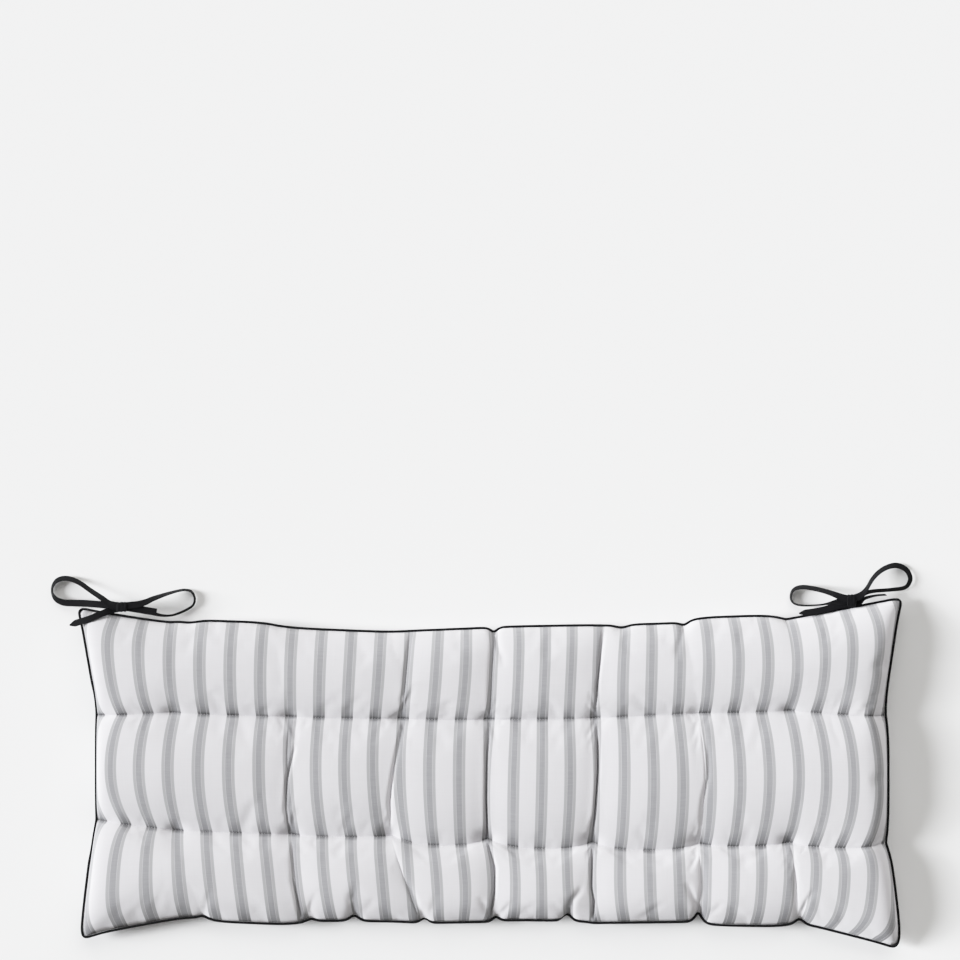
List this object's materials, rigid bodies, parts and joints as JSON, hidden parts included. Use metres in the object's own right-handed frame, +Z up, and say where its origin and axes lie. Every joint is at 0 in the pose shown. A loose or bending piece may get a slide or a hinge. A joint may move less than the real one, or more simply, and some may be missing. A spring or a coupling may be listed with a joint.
{
  "type": "bench cushion",
  "caption": "Long tufted bench cushion in striped cotton with a piped knife edge, sewn channels with tufts, and a tape bow at each back corner.",
  "frame": {"origin": "on the floor, at the middle of the whole object's box, ties included", "axes": "+X along the bench, to the right as seen from the front edge; +Y towards the back edge with the ties; +Z up"},
  "size_m": [1.2876, 0.572, 0.075],
  "materials": {
    "striped_cotton": "matte plain-weave cotton, off-white with grey ticking stripes",
    "black_piping": "matte black cotton over a thin cord",
    "black_tape": "matte black cotton tape"
  },
  "bodies": {
    "root": {"cushion": "striped_cotton", "piping": "black_piping", "knot_left": "black_tape", "knot_right": "black_tape", "loop_left_outer": "black_tape", "loop_left_inner": "black_tape", "loop_right_inner": "black_tape", "loop_right_outer": "black_tape", "tail_left_outer": "black_tape", "tail_left_inner": "black_tape", "tail_right_inner": "black_tape", "tail_right_outer": "black_tape"}
  },
  "joints": []
}
